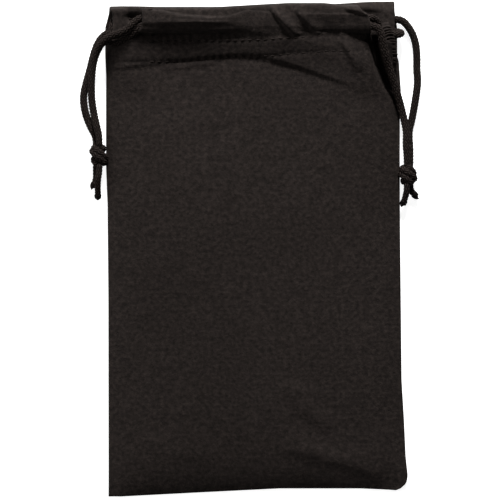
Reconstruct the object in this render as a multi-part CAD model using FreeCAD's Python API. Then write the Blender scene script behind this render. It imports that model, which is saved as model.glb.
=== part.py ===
import FreeCAD, Part
import math
import os

# Soft drawstring pouch for a pair of glasses, lying flat on its back panel.
# Millimetres. +X is the width, +Y runs towards the mouth, +Z is up.
# The origin is on the resting surface, under the middle of the pouch.

os.makedirs("parts", exist_ok=True)
Vector = FreeCAD.Vector

# Driving dimensions of the cloth
POUCH_LENGTH = 169.0
BOTTOM_HALF_WIDTH = 51.6
TOP_HALF_WIDTH = 50.0
CLOTH = 0.45
TOP_Y = POUCH_LENGTH / 2
BOTTOM_Y = -POUCH_LENGTH / 2

# Driving dimensions of the two drawcords
CORD_DIAMETER = 2.5
CORD_RADIUS = CORD_DIAMETER / 2
CORD_CLEARANCE = 0.3

# Drawcord tunnels: one in the top hem of each panel
TUNNEL_INSIDE = CORD_DIAMETER + 2 * CORD_CLEARANCE
MOUTH_GAP = 4.3
HEM_END_Y = 64.4
LOWER_ROW_Y = 66.6
UPPER_ROW_Y = 71.2
TUNNEL_FOOT_Y = 71.9
TUNNEL_SLOPE = 2.1
FOLD_BEVEL = 0.6
FRONT_MOUTH_LEFT_X = -38.0
FRONT_MOUTH_RIGHT_X = 39.0
BACK_MOUTH_X = 48.2

# Levels, from the resting surface upwards
BACK_CORD_Z = CLOTH + TUNNEL_INSIDE / 2
BACK_HEM_TOP_Z = 2 * CLOTH + TUNNEL_INSIDE
FRONT_HEM_Z = BACK_HEM_TOP_Z + MOUTH_GAP
FRONT_CORD_Z = FRONT_HEM_Z + CLOTH + TUNNEL_INSIDE / 2
FRONT_BAND_TOP_Z = FRONT_HEM_Z + 2 * CLOTH
FRONT_TOP_Z = FRONT_HEM_Z + 2 * CLOTH + TUNNEL_INSIDE

# The crowned front panel: a sloping top face and sloping margins down to the seams
BAND_START_Y = 64.0
BAND_END_Y = 72.0
CROWN_HALF_TOP = 41.0
CROWN_HALF_BOTTOM = 42.0
CROWN_BOTTOM_Y = -72.0
CROWN_BOTTOM_Z = 5.6

# How far the inside of a sloping wall stands in, in cloth thicknesses
BOTTOM_WALL_FOOT = 1.5
SIDE_WALL_FOOT = 1.2
SIDE_WALL_SHOULDER = 0.6

# Where each cord lies across its tunnels
FRONT_LOW_LANE_Y = 76.6
FRONT_HIGH_LANE_Y = 79.4
BACK_LOW_LANE_Y = 75.3
BACK_HIGH_LANE_Y = 79.6
RUN_END_GAP = 0.3
BIGHT_START_X = 37.0
BIGHT_END_X = 47.0
RIGHT_TURN_X = 49.9
LEFT_TURN_X = -51.0
BIGHT_LEG_Z = BACK_CORD_Z + 3.7

# Knots
KNOT_END_RADIUS = 2.62
KNOT_MIDDLE_RADIUS = 2.95
KNOT_Z = 3.05
STRAND_OFFSET_X = 0.65
STRAND_OFFSET_Z = 1.15
LEFT_KNOT_X = -54.9
LEFT_KNOT_TOP_Y = 36.4
LEFT_KNOT_BOTTOM_Y = 28.8
RIGHT_KNOT_X = 52.6
RIGHT_KNOT_TOP_Y = 29.3
RIGHT_KNOT_BOTTOM_Y = 22.3

# Seams
SEAM_ALLOWANCE = 4.6
SIDE_ALLOWANCE_INSET = 2.6
BOTTOM_ALLOWANCE_INSET = 3.4
ALLOWANCE_THICKNESS = 0.8
STITCH_LENGTH = 2.0
STITCH_PITCH = 2.6
STITCH_WIDTH = 0.35
STITCH_HEIGHT = 0.22


def half_width(y):
    """Half the pouch's width at this Y: a slight taper towards the mouth."""
    share = (y - BOTTOM_Y) / POUCH_LENGTH
    return BOTTOM_HALF_WIDTH + share * (TOP_HALF_WIDTH - BOTTOM_HALF_WIDTH)


def polygon(points):
    """A closed wire through these corners."""
    return Part.makePolygon([Vector(*p) for p in points + points[:1]])


def prism_along_x(profile, x_start, x_end):
    """A profile of (y, z) corners carried along X."""
    face = Part.Face(polygon([(x_start, y, z) for y, z in profile]))
    return face.extrude(Vector(x_end - x_start, 0, 0))


def prism_along_y(profile, y_start, y_end):
    """A profile of (x, z) corners carried along Y."""
    face = Part.Face(polygon([(x, y_start, z) for x, z in profile]))
    return face.extrude(Vector(0, y_end - y_start, 0))


def slab(outline, z_bottom, z_top):
    """A flat sheet with this (x, y) outline."""
    face = Part.Face(polygon([(x, y, z_bottom) for x, y in outline]))
    return face.extrude(Vector(0, 0, z_top - z_bottom))


def save(node, shape):
    """Write one sub-part, after testing that it is a sound solid."""
    if not shape.isValid() or shape.Volume <= 0:
        raise ValueError(node + " is not a sound solid")
    shape.exportStep("parts/" + node + ".step")
    box = shape.BoundBox
    print(f"{node:28s} {shape.Volume:9.1f} mm3  z {box.ZMin:6.2f} to {box.ZMax:6.2f}")


# ---------------------------------------------------------------- panels and hems


def make_back_panel():
    """The flat rear cloth, which the pouch rests on, up to the fold of its top hem."""
    outline = [
        (-half_width(BOTTOM_Y), BOTTOM_Y),
        (half_width(BOTTOM_Y), BOTTOM_Y),
        (half_width(TOP_Y), TOP_Y),
        (-half_width(TOP_Y), TOP_Y),
    ]
    return slab(outline, 0, CLOTH)


def make_back_hem():
    """The rear panel's turned-in hem: up at the fold, over the cords and down to the rows."""
    inside_z = CLOTH + TUNNEL_INSIDE
    profile = [
        (TOP_Y, CLOTH),
        (TOP_Y, BACK_HEM_TOP_Z - FOLD_BEVEL),
        (TOP_Y - FOLD_BEVEL, BACK_HEM_TOP_Z),
        (TUNNEL_FOOT_Y + TUNNEL_SLOPE, BACK_HEM_TOP_Z),
        (TUNNEL_FOOT_Y, 2 * CLOTH),
        (HEM_END_Y, 2 * CLOTH),
        (HEM_END_Y, CLOTH),
        (TUNNEL_FOOT_Y + CLOTH / 2, CLOTH),
        (TUNNEL_FOOT_Y + TUNNEL_SLOPE + CLOTH / 2, inside_z),
        (TOP_Y - FOLD_BEVEL - CLOTH / 2, inside_z),
        (TOP_Y - CLOTH, inside_z - FOLD_BEVEL + CLOTH / 2),
        (TOP_Y - CLOTH, CLOTH),
    ]
    return prism_along_x(profile, -BACK_MOUTH_X, BACK_MOUTH_X)


def make_front_hem():
    """The front panel's turned-in hem: flat under the cords, then half way up the fold."""
    inside_z = FRONT_HEM_Z + CLOTH
    profile = [
        (HEM_END_Y, FRONT_HEM_Z),
        (TOP_Y - FOLD_BEVEL, FRONT_HEM_Z),
        (TOP_Y, FRONT_HEM_Z + FOLD_BEVEL),
        (TOP_Y, FRONT_CORD_Z),
        (TOP_Y - CLOTH, FRONT_CORD_Z),
        (TOP_Y - CLOTH, inside_z + FOLD_BEVEL - CLOTH / 2),
        (TOP_Y - FOLD_BEVEL - CLOTH / 2, inside_z),
        (HEM_END_Y, inside_z),
    ]
    return prism_along_x(profile, FRONT_MOUTH_LEFT_X, FRONT_MOUTH_RIGHT_X)


def crown_volume(inset):
    """The wedge under the front panel, its walls drawn in by this much."""
    bottom = BOTTOM_Y + inset * BOTTOM_WALL_FOOT
    mouth = BAND_START_Y
    base_bottom_half = half_width(BOTTOM_Y) - inset * SIDE_WALL_FOOT
    base_mouth_half = half_width(mouth) - inset * SIDE_WALL_FOOT
    crown_bottom_half = CROWN_HALF_BOTTOM - inset * SIDE_WALL_SHOULDER
    crown_mouth_half = CROWN_HALF_TOP - inset * SIDE_WALL_SHOULDER
    crown_bottom_y = CROWN_BOTTOM_Y + inset
    crown_bottom_z = CROWN_BOTTOM_Z - inset
    crown_mouth_z = FRONT_BAND_TOP_Z - inset
    base = [
        (-base_bottom_half, bottom, CLOTH),
        (base_bottom_half, bottom, CLOTH),
        (base_mouth_half, mouth, CLOTH),
        (-base_mouth_half, mouth, CLOTH),
    ]
    crown = [
        (-crown_bottom_half, crown_bottom_y, crown_bottom_z),
        (crown_bottom_half, crown_bottom_y, crown_bottom_z),
        (crown_mouth_half, mouth, crown_mouth_z),
        (-crown_mouth_half, mouth, crown_mouth_z),
    ]
    return Part.makeLoft([polygon(base), polygon(crown)], True, True)


def make_front_panel():
    """The crowned front cloth: body, the band under the stitch rows, and the tunnel's roof."""
    body = crown_volume(0).cut(crown_volume(CLOTH))
    edge = half_width(BAND_START_Y)
    band_outside = [
        (-edge, CLOTH),
        (edge, CLOTH),
        (CROWN_HALF_TOP, FRONT_BAND_TOP_Z),
        (-CROWN_HALF_TOP, FRONT_BAND_TOP_Z),
    ]
    band_inside = [
        (-edge + SIDE_WALL_FOOT * CLOTH, CLOTH),
        (edge - SIDE_WALL_FOOT * CLOTH, CLOTH),
        (CROWN_HALF_TOP - SIDE_WALL_SHOULDER * CLOTH, FRONT_BAND_TOP_Z - CLOTH),
        (-CROWN_HALF_TOP + SIDE_WALL_SHOULDER * CLOTH, FRONT_BAND_TOP_Z - CLOTH),
    ]
    band = prism_along_y(band_outside, BAND_START_Y, BAND_END_Y)
    band = band.cut(prism_along_y(band_inside, BAND_START_Y, BAND_END_Y))
    inside_z = FRONT_TOP_Z - CLOTH
    foot = TUNNEL_FOOT_Y
    roof_profile = [
        (foot - 1.0, FRONT_BAND_TOP_Z),
        (foot, FRONT_BAND_TOP_Z),
        (foot + TUNNEL_SLOPE, FRONT_TOP_Z),
        (TOP_Y - FOLD_BEVEL, FRONT_TOP_Z),
        (TOP_Y, FRONT_TOP_Z - FOLD_BEVEL),
        (TOP_Y, FRONT_CORD_Z),
        (TOP_Y - CLOTH, FRONT_CORD_Z),
        (TOP_Y - CLOTH, inside_z - FOLD_BEVEL + CLOTH / 2),
        (TOP_Y - FOLD_BEVEL - CLOTH / 2, inside_z),
        (foot + TUNNEL_SLOPE + CLOTH / 2, inside_z),
        (foot + CLOTH / 2, FRONT_BAND_TOP_Z - CLOTH),
        (foot - 1.0, FRONT_BAND_TOP_Z - CLOTH),
    ]
    roof = prism_along_x(roof_profile, FRONT_MOUTH_LEFT_X, FRONT_MOUTH_RIGHT_X)
    return body.fuse([band, roof]).removeSplitter()


# ---------------------------------------------------------------- seams and stitching


def make_side_overlock(side):
    """The overlocked allowance inside a side seam, from the bottom seam to the tunnel."""
    y_start = BOTTOM_Y + BOTTOM_ALLOWANCE_INSET
    y_end = BAND_END_Y - 0.8
    outline = []
    for y, inset in (
        (y_start, SIDE_ALLOWANCE_INSET),
        (y_end, SIDE_ALLOWANCE_INSET),
        (y_end, SIDE_ALLOWANCE_INSET + SEAM_ALLOWANCE),
        (y_start, SIDE_ALLOWANCE_INSET + SEAM_ALLOWANCE),
    ):
        outline.append((side * (half_width(y) - inset), y))
    strip = slab(outline, CLOTH, CLOTH + ALLOWANCE_THICKNESS)
    return strip.cut(make_back_hem())


def make_bottom_overlock():
    """The overlocked allowance inside the bottom seam, between the two side allowances."""
    y_start = BOTTOM_Y + BOTTOM_ALLOWANCE_INSET
    y_end = y_start + SEAM_ALLOWANCE
    x_end = half_width(y_end) - SIDE_ALLOWANCE_INSET - SEAM_ALLOWANCE - 0.5
    outline = [(-x_end, y_start), (x_end, y_start), (x_end, y_end), (-x_end, y_end)]
    return slab(outline, CLOTH, CLOTH + ALLOWANCE_THICKNESS)


def stitch_row(x_start, y_start, x_end, y_end, z):
    """A row of separate thread stitches on a surface, from one point to another."""
    length = math.hypot(x_end - x_start, y_end - y_start)
    count = int(length / STITCH_PITCH)
    angle = math.degrees(math.atan2(y_end - y_start, x_end - x_start))
    stitches = []
    for index in range(count):
        stitch = Part.makeBox(STITCH_LENGTH, STITCH_WIDTH, STITCH_HEIGHT)
        stitch.translate(Vector(index * STITCH_PITCH, -STITCH_WIDTH / 2, 0))
        stitch.rotate(Vector(0, 0, 0), Vector(0, 0, 1), angle)
        stitch.translate(Vector(x_start, y_start, z))
        stitches.append(stitch)
    return Part.makeCompound(stitches)


def make_side_stitches(side):
    """The lockstitch row along a side seam's allowance."""
    top_z = CLOTH + ALLOWANCE_THICKNESS
    inset = SIDE_ALLOWANCE_INSET + 0.9
    y_start = BOTTOM_Y + BOTTOM_ALLOWANCE_INSET + 0.5
    y_end = HEM_END_Y - 1.0
    x_start = side * (half_width(y_start) - inset)
    x_end = side * (half_width(y_end) - inset)
    return stitch_row(x_start, y_start, x_end, y_end, top_z)


def make_bottom_stitches():
    """The lockstitch row along the bottom seam's allowance."""
    top_z = CLOTH + ALLOWANCE_THICKNESS
    y = BOTTOM_Y + BOTTOM_ALLOWANCE_INSET + 2.0
    x_end = half_width(y) - SIDE_ALLOWANCE_INSET - SEAM_ALLOWANCE - 1.5
    return stitch_row(-x_end, y, x_end, y, top_z)


# ---------------------------------------------------------------- drawcords


def cord_wire(name, route):
    """Straight runs joined by tangent arcs, each as large as its two runs allow."""
    points = [Vector(*p) for p in route]
    edges = []
    radii = []
    start = points[0]
    for before, corner, after in zip(points, points[1:], points[2:]):
        back = (before - corner).normalize()
        ahead = (after - corner).normalize()
        turn = math.pi - back.getAngle(ahead)
        reach = 0.45 * min(before.distanceToPoint(corner), corner.distanceToPoint(after))
        radius = reach / math.tan(turn / 2)
        radii.append(radius)
        arc_start = corner + back * reach
        arc_end = corner + ahead * reach
        bisector = (back + ahead).normalize()
        middle = corner + bisector * (radius / math.cos(turn / 2) - radius)
        edges.append(Part.LineSegment(start, arc_start).toShape())
        edges.append(Part.Arc(arc_start, middle, arc_end).toShape())
        start = arc_end
    edges.append(Part.LineSegment(start, points[-1]).toShape())
    wire = Part.Wire(edges)
    smallest = f"{min(radii):.2f}" if radii else "none"
    print(f"{name}: length {wire.Length:.1f}, smallest radius {smallest}")
    print("   radii " + " ".join(f"{radius:.1f}" for radius in radii))
    return wire


def cord_tube(name, route):
    """A plain round tube along a cord's route."""
    wire = cord_wire(name, route)
    first = Vector(*route[0])
    direction = Vector(*route[1]) - first
    section = Part.Wire(Part.makeCircle(CORD_RADIUS, first, direction))
    tube = wire.makePipeShell([section], True, False)
    expected = math.pi * CORD_RADIUS**2 * wire.Length
    print(f"   volume {tube.Volume:.1f}, section x length {expected:.1f}")
    return tube


def tunnel_run(x_start, x_end, y, z):
    """The straight stretch of a cord inside a tunnel."""
    direction = Vector(1 if x_end > x_start else -1, 0, 0)
    return Part.makeCylinder(CORD_RADIUS, abs(x_end - x_start), Vector(x_start, y, z), direction)


def knot(x, y_top, y_bottom):
    """The body of a knot that joins a cord's two strands: a barrel with flat ends."""
    middle = (y_top + y_bottom) / 2
    corner_low = Vector(x, y_bottom, KNOT_Z + KNOT_END_RADIUS)
    corner_high = Vector(x, y_top, KNOT_Z + KNOT_END_RADIUS)
    crest = Vector(x, middle, KNOT_Z + KNOT_MIDDLE_RADIUS)
    edges = [
        Part.LineSegment(Vector(x, y_bottom, KNOT_Z), corner_low).toShape(),
        Part.Arc(corner_low, crest, corner_high).toShape(),
        Part.LineSegment(corner_high, Vector(x, y_top, KNOT_Z)).toShape(),
        Part.LineSegment(Vector(x, y_top, KNOT_Z), Vector(x, y_bottom, KNOT_Z)).toShape(),
    ]
    face = Part.Face(Part.Wire(edges))
    return face.revolve(Vector(x, 0, KNOT_Z), Vector(0, 1, 0), 360)


# Where the strands meet the knots: the front strand above, the rear strand below
UPPER_Z = KNOT_Z + STRAND_OFFSET_Z
LOWER_Z = KNOT_Z - STRAND_OFFSET_Z
LEFT_FRONT_X = LEFT_KNOT_X + STRAND_OFFSET_X
LEFT_REAR_X = LEFT_KNOT_X - STRAND_OFFSET_X
RIGHT_FRONT_X = RIGHT_KNOT_X - STRAND_OFFSET_X
RIGHT_REAR_X = RIGHT_KNOT_X + STRAND_OFFSET_X

# The left cord's front strand comes out high, crosses the other cord's bight and the
# pouch's edge, and comes down to the surface beside the pouch.
LEFT_FRONT_STRAND = [
    (FRONT_MOUTH_LEFT_X, FRONT_HIGH_LANE_Y, FRONT_CORD_Z),
    (-40.4, FRONT_HIGH_LANE_Y, FRONT_CORD_Z),
    (-43.0, 76.8, 10.2),
    (-45.6, 74.7, 9.9),
    (-49.0, 73.8, 9.1),
    (-52.2, 72.2, 7.9),
    (-54.7, 69.2, 6.0),
    (-56.4, 64.6, 4.4),
    (-57.1, 58.6, 3.4),
    (-57.1, 52.4, 2.5),
    (-56.3, 47.0, 2.5),
    (-55.2, 42.4, 3.6),
    (LEFT_FRONT_X, 39.2, UPPER_Z),
    (LEFT_FRONT_X, LEFT_KNOT_TOP_Y, UPPER_Z),
]
LEFT_REAR_STRAND = [
    (-BACK_MOUTH_X, BACK_LOW_LANE_Y, BACK_CORD_Z),
    (-50.6, BACK_LOW_LANE_Y, BACK_CORD_Z),
    (-53.2, 73.9, 1.9),
    (-55.1, 71.2, 1.7),
    (-56.5, 67.2, 1.45),
    (-57.6, 62.6, 1.35),
    (-58.9, 58.0, 1.3),
    (-60.0, 53.6, 1.3),
    (-59.7, 49.2, 1.3),
    (-58.7, 45.4, 1.35),
    (-57.2, 42.0, 1.6),
    (LEFT_REAR_X, 39.0, LOWER_Z),
    (LEFT_REAR_X, LEFT_KNOT_TOP_Y, LOWER_Z),
]
LEFT_FRONT_TAIL = [
    (LEFT_FRONT_X, LEFT_KNOT_BOTTOM_Y, UPPER_Z),
    (LEFT_FRONT_X, 27.0, UPPER_Z),
    (-54.8, 24.0, 4.1),
    (-54.9, 20.8, 3.1),
    (-54.8, 17.8, 1.6),
]
LEFT_REAR_TAIL = [
    (LEFT_REAR_X, LEFT_KNOT_BOTTOM_Y, LOWER_Z),
    (LEFT_REAR_X, 27.2, LOWER_Z),
    (-55.5, 24.2, 1.4),
    (-56.6, 21.6, 1.3),
]

# The right cord's front strand turns sharply down over the front panel's margin.
RIGHT_FRONT_STRAND = [
    (FRONT_MOUTH_RIGHT_X, FRONT_LOW_LANE_Y, FRONT_CORD_Z),
    (41.2, FRONT_LOW_LANE_Y, FRONT_CORD_Z),
    (42.7, 74.6, 10.2),
    (43.4, 71.4, 9.7),
    (44.3, 67.5, 8.6),
    (45.4, 63.5, 7.2),
    (46.8, 59.6, 5.9),
    (48.1, 55.6, 4.8),
    (49.3, 51.6, 3.9),
    (50.3, 47.8, 3.3),
    (51.2, 44.1, 3.3),
    (51.9, 40.4, 3.9),
    (51.7, 36.4, 4.0),
    (RIGHT_FRONT_X, 32.6, UPPER_Z),
    (RIGHT_FRONT_X, RIGHT_KNOT_TOP_Y, UPPER_Z),
]
RIGHT_REAR_STRAND = [
    (BACK_MOUTH_X, BACK_HIGH_LANE_Y, BACK_CORD_Z),
    (50.2, BACK_HIGH_LANE_Y, BACK_CORD_Z),
    (52.4, 77.4, 1.8),
    (54.3, 74.2, 1.55),
    (55.3, 70.6, 1.35),
    (55.6, 66.4, 1.3),
    (55.5, 62.4, 1.3),
    (55.9, 58.6, 1.3),
    (55.5, 54.8, 1.3),
    (54.9, 51.0, 1.3),
    (54.3, 47.6, 1.3),
    (53.7, 44.4, 1.3),
    (52.7, 40.8, 1.3),
    (53.0, 36.6, 1.45),
    (RIGHT_REAR_X, 32.6, LOWER_Z),
    (RIGHT_REAR_X, RIGHT_KNOT_TOP_Y, LOWER_Z),
]
RIGHT_FRONT_TAIL = [
    (RIGHT_FRONT_X, RIGHT_KNOT_BOTTOM_Y, UPPER_Z),
    (RIGHT_FRONT_X, 20.4, UPPER_Z),
    (51.5, 18.2, 3.3),
    (50.7, 15.6, 2.2),
]
RIGHT_REAR_TAIL = [
    (RIGHT_REAR_X, RIGHT_KNOT_BOTTOM_Y, LOWER_Z),
    (RIGHT_REAR_X, 20.8, LOWER_Z),
    (54.2, 19.4, 1.6),
    (55.5, 18.4, 1.4),
]

# A bight is the stretch that comes out of the front tunnel, goes round the hem's end
# and returns through the back tunnel. The left cord's bight is on the right, and the
# right cord's is on the left.
LEFT_CORD_BIGHT = [
    (BIGHT_START_X, FRONT_HIGH_LANE_Y, FRONT_CORD_Z),
    (39.6, FRONT_HIGH_LANE_Y, FRONT_CORD_Z),
    (41.6, 78.4, 8.2),
    (43.0, 75.6, 6.2),
    (46.0, 74.0, BIGHT_LEG_Z),
    (RIGHT_TURN_X, 74.2, BIGHT_LEG_Z),
    (RIGHT_TURN_X, BACK_LOW_LANE_Y, BACK_CORD_Z),
    (BIGHT_END_X, BACK_LOW_LANE_Y, BACK_CORD_Z),
]
RIGHT_CORD_BIGHT = [
    (-BIGHT_START_X, FRONT_LOW_LANE_Y, FRONT_CORD_Z),
    (-39.4, FRONT_LOW_LANE_Y, FRONT_CORD_Z),
    (-42.4, 74.0, 8.6),
    (-45.6, 72.0, 7.0),
    (-48.6, 70.9, 6.2),
    (LEFT_TURN_X, 71.2, 5.3),
    (LEFT_TURN_X, 73.8, 5.2),
    (LEFT_TURN_X, 77.4, 4.4),
    (LEFT_TURN_X, BACK_HIGH_LANE_Y, BACK_CORD_Z),
    (-BIGHT_END_X, BACK_HIGH_LANE_Y, BACK_CORD_Z),
]


def make_left_drawcord():
    """The cord whose ends leave on the left: both runs, its bight, strands, knot and tails."""
    run_end = BIGHT_START_X - RUN_END_GAP
    back_end = BIGHT_END_X - RUN_END_GAP
    front = tunnel_run(FRONT_MOUTH_LEFT_X, run_end, FRONT_HIGH_LANE_Y, FRONT_CORD_Z)
    back = tunnel_run(-BACK_MOUTH_X, back_end, BACK_LOW_LANE_Y, BACK_CORD_Z)
    save("left_cord_front_run", front)
    save("left_cord_back_run", back)
    save("left_cord_bight", cord_tube("left_cord_bight", LEFT_CORD_BIGHT))
    save("left_cord_front_strand", cord_tube("left_cord_front_strand", LEFT_FRONT_STRAND))
    save("left_cord_rear_strand", cord_tube("left_cord_rear_strand", LEFT_REAR_STRAND))
    save("left_cord_knot", knot(LEFT_KNOT_X, LEFT_KNOT_TOP_Y, LEFT_KNOT_BOTTOM_Y))
    save("left_cord_front_tail", cord_tube("left_cord_front_tail", LEFT_FRONT_TAIL))
    save("left_cord_rear_tail", cord_tube("left_cord_rear_tail", LEFT_REAR_TAIL))


def make_right_drawcord():
    """The cord whose ends leave on the right."""
    run_end = BIGHT_START_X - RUN_END_GAP
    back_end = BIGHT_END_X - RUN_END_GAP
    front = tunnel_run(-run_end, FRONT_MOUTH_RIGHT_X, FRONT_LOW_LANE_Y, FRONT_CORD_Z)
    back = tunnel_run(-back_end, BACK_MOUTH_X, BACK_HIGH_LANE_Y, BACK_CORD_Z)
    save("right_cord_front_run", front)
    save("right_cord_back_run", back)
    save("right_cord_bight", cord_tube("right_cord_bight", RIGHT_CORD_BIGHT))
    save("right_cord_front_strand", cord_tube("right_cord_front_strand", RIGHT_FRONT_STRAND))
    save("right_cord_rear_strand", cord_tube("right_cord_rear_strand", RIGHT_REAR_STRAND))
    save("right_cord_knot", knot(RIGHT_KNOT_X, RIGHT_KNOT_TOP_Y, RIGHT_KNOT_BOTTOM_Y))
    save("right_cord_front_tail", cord_tube("right_cord_front_tail", RIGHT_FRONT_TAIL))
    save("right_cord_rear_tail", cord_tube("right_cord_rear_tail", RIGHT_REAR_TAIL))


def make_pouch():
    """The sewn cloth: two panels, their hems, the seams inside and all the stitching."""
    save("back_panel", make_back_panel())
    save("back_hem", make_back_hem())
    save("front_hem", make_front_hem())
    save("front_panel", make_front_panel())
    save("left_seam_overlock", make_side_overlock(-1))
    save("right_seam_overlock", make_side_overlock(1))
    save("bottom_seam_overlock", make_bottom_overlock())
    save("left_seam_stitches", make_side_stitches(-1))
    save("right_seam_stitches", make_side_stitches(1))
    save("bottom_seam_stitches", make_bottom_stitches())
    left = FRONT_MOUTH_LEFT_X + 1.0
    right = FRONT_MOUTH_RIGHT_X - 1.0
    back_end = BACK_MOUTH_X - 9.0
    for row, y in (("upper", UPPER_ROW_Y), ("lower", LOWER_ROW_Y)):
        front_row = stitch_row(left, y, right, y, FRONT_BAND_TOP_Z)
        back_row = stitch_row(-back_end, y, back_end, y, 2 * CLOTH)
        save("front_" + row + "_hem_stitches", front_row)
        save("back_" + row + "_hem_stitches", back_row)


make_pouch()
make_left_drawcord()
make_right_drawcord()
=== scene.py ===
"""Looks of the soft drawstring pouch glasses case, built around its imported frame.

Lengths in the modelling functions are millimetres in the row frame: X across, Y from the closed end
up to the mouth, Z up from the table. They become metres when a mesh is made.
"""

import math

import bpy
import numpy as np
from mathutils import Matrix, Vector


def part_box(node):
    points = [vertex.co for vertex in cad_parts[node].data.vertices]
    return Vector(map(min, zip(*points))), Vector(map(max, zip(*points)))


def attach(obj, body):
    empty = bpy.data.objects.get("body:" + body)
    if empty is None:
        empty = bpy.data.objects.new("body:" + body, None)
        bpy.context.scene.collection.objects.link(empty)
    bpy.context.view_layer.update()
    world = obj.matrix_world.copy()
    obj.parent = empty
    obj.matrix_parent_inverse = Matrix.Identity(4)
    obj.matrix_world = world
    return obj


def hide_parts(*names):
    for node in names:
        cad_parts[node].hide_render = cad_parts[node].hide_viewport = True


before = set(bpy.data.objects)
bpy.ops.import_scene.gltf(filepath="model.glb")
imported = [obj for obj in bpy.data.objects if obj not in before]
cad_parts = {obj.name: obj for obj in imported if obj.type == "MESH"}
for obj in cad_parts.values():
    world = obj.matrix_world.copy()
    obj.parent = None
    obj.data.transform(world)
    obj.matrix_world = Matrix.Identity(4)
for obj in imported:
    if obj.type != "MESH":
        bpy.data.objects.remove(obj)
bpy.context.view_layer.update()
rng = np.random.default_rng(7)
MM = 0.001

# ---------------------------------------------------------------------------------------------
# Camera: straight down on the pouch, a long lens, +Y up in the image
# ---------------------------------------------------------------------------------------------
VIEW_CENTRE = (-2.24, -0.17)
VIEW_WIDTH = 172.5
VIEW_LEVEL = 5.0  # height at which the image is that wide
camera = bpy.data.objects.new("camera", bpy.data.cameras.new("camera"))
bpy.context.scene.collection.objects.link(camera)
camera.data.lens = 200.0
camera.data.sensor_width = 36.0
camera.location = (
    VIEW_CENTRE[0] * MM,
    VIEW_CENTRE[1] * MM,
    VIEW_WIDTH * MM * camera.data.lens / camera.data.sensor_width + VIEW_LEVEL * MM,
)
bpy.context.scene.camera = camera


# ---------------------------------------------------------------------------------------------
# Helpers
# ---------------------------------------------------------------------------------------------
def smooth(t):
    """0 to 1 with level ends, for t from 0 to 1."""
    t = np.clip(t, 0.0, 1.0)
    return t * t * (3.0 - 2.0 * t)


def step(v, low, high):
    """0 below low, 1 above high, smooth between."""
    return smooth((v - low) / (high - low))


def table(v, pairs):
    """Value at v along a short list of (where, value) pairs."""
    return np.interp(v, [p[0] for p in pairs], [p[1] for p in pairs])


def make_mesh(name, verts, faces, material, relief=None):
    """A smooth-shaded mesh object from millimetre vertices, flattened where it lies on the table."""
    verts = np.array(verts, float)
    verts[:, 2] = np.maximum(verts[:, 2], 0.0)
    mesh = bpy.data.meshes.new(name)
    mesh.from_pydata((verts * MM).tolist(), [], faces)
    mesh.update()
    if relief is not None:
        layer = mesh.attributes.new("relief", "FLOAT", "POINT")
        layer.data.foreach_set("value", np.asarray(relief, np.float32))
    mesh.polygons.foreach_set("use_smooth", [True] * len(mesh.polygons))
    mesh.materials.append(material)
    obj = bpy.data.objects.new(name, mesh)
    bpy.context.scene.collection.objects.link(obj)
    return obj


def grid_faces(rows, cols, closed=False):
    """Quads of a grid; closed joins the last column to the first."""
    last = cols if closed else cols - 1
    r, c = np.meshgrid(np.arange(rows - 1), np.arange(last), indexing="ij")
    n = (c + 1) % cols
    quads = np.stack([r * cols + c, r * cols + n, (r + 1) * cols + n, (r + 1) * cols + c], -1)
    return quads.reshape(-1, 4).tolist()


def place(obj, body, slot_name, *nodes):
    """The piece rides on a body and stands for CAD nodes, which are hidden; its slot name is not used."""
    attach(obj, body)
    if nodes:
        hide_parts(*nodes)
    return obj


# ---------------------------------------------------------------------------------------------
# Materials
# ---------------------------------------------------------------------------------------------
def new_material(name):
    """An empty material with one shader: the material, its tree and the shader."""
    mat = bpy.data.materials.new(name)
    mat.use_nodes = True
    tree = mat.node_tree
    tree.nodes.clear()
    out = tree.nodes.new("ShaderNodeOutputMaterial")
    shader = tree.nodes.new("ShaderNodeBsdfPrincipled")
    tree.links.new(shader.outputs[0], out.inputs[0])
    return mat, tree, shader


def node(tree, kind, **settings):
    """A shader node; each setting is one of its properties or the value of one of its sockets."""
    made = tree.nodes.new(kind)
    for key, value in settings.items():
        if hasattr(made, key):
            setattr(made, key, value)
        else:
            made.inputs[key].default_value = value
    return made


def noise(tree, coords, scale, detail=3.0, rough=0.55):
    made = node(tree, "ShaderNodeTexNoise", Scale=scale, Detail=detail, Roughness=rough)
    tree.links.new(coords, made.inputs["Vector"])
    return made.outputs["Fac"]


def ramp(tree, value, stops):
    """A colour for a value, along (where, colour) stops."""
    made = node(tree, "ShaderNodeValToRGB")
    marks = made.color_ramp.elements
    while len(marks) < len(stops):
        marks.new(0.5)
    for mark, (where, colour) in zip(marks, stops):
        mark.position = where
        mark.color = (*colour, 1.0)
    tree.links.new(value, made.inputs["Fac"])
    return made.outputs["Color"]


def multiply(tree, a, b):
    made = node(tree, "ShaderNodeMix", data_type="RGBA", blend_type="MULTIPLY")
    made.inputs["Factor"].default_value = 1.0
    tree.links.new(a, made.inputs[6])
    tree.links.new(b, made.inputs[7])
    return made.outputs[2]


def add(tree, a, b):
    made = node(tree, "ShaderNodeMath", operation="ADD")
    tree.links.new(a, made.inputs[0])
    tree.links.new(b, made.inputs[1])
    return made.outputs[0]


def roughness_from(tree, shader, value, spread, least):
    """Roughness that varies with a value, from least to least + spread."""
    made = node(tree, "ShaderNodeMath", operation="MULTIPLY_ADD")
    tree.links.new(value, made.inputs[0])
    made.inputs[1].default_value = spread
    made.inputs[2].default_value = least
    tree.links.new(made.outputs[0], shader.inputs["Roughness"])


def bump(tree, height, strength, distance, normal=None):
    """A normal that follows a height, laid over another normal if there is one."""
    made = node(tree, "ShaderNodeBump", Strength=strength, Distance=distance)
    tree.links.new(height, made.inputs["Height"])
    if normal is not None:
        tree.links.new(normal, made.inputs["Normal"])
    return made.outputs["Normal"]


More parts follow.
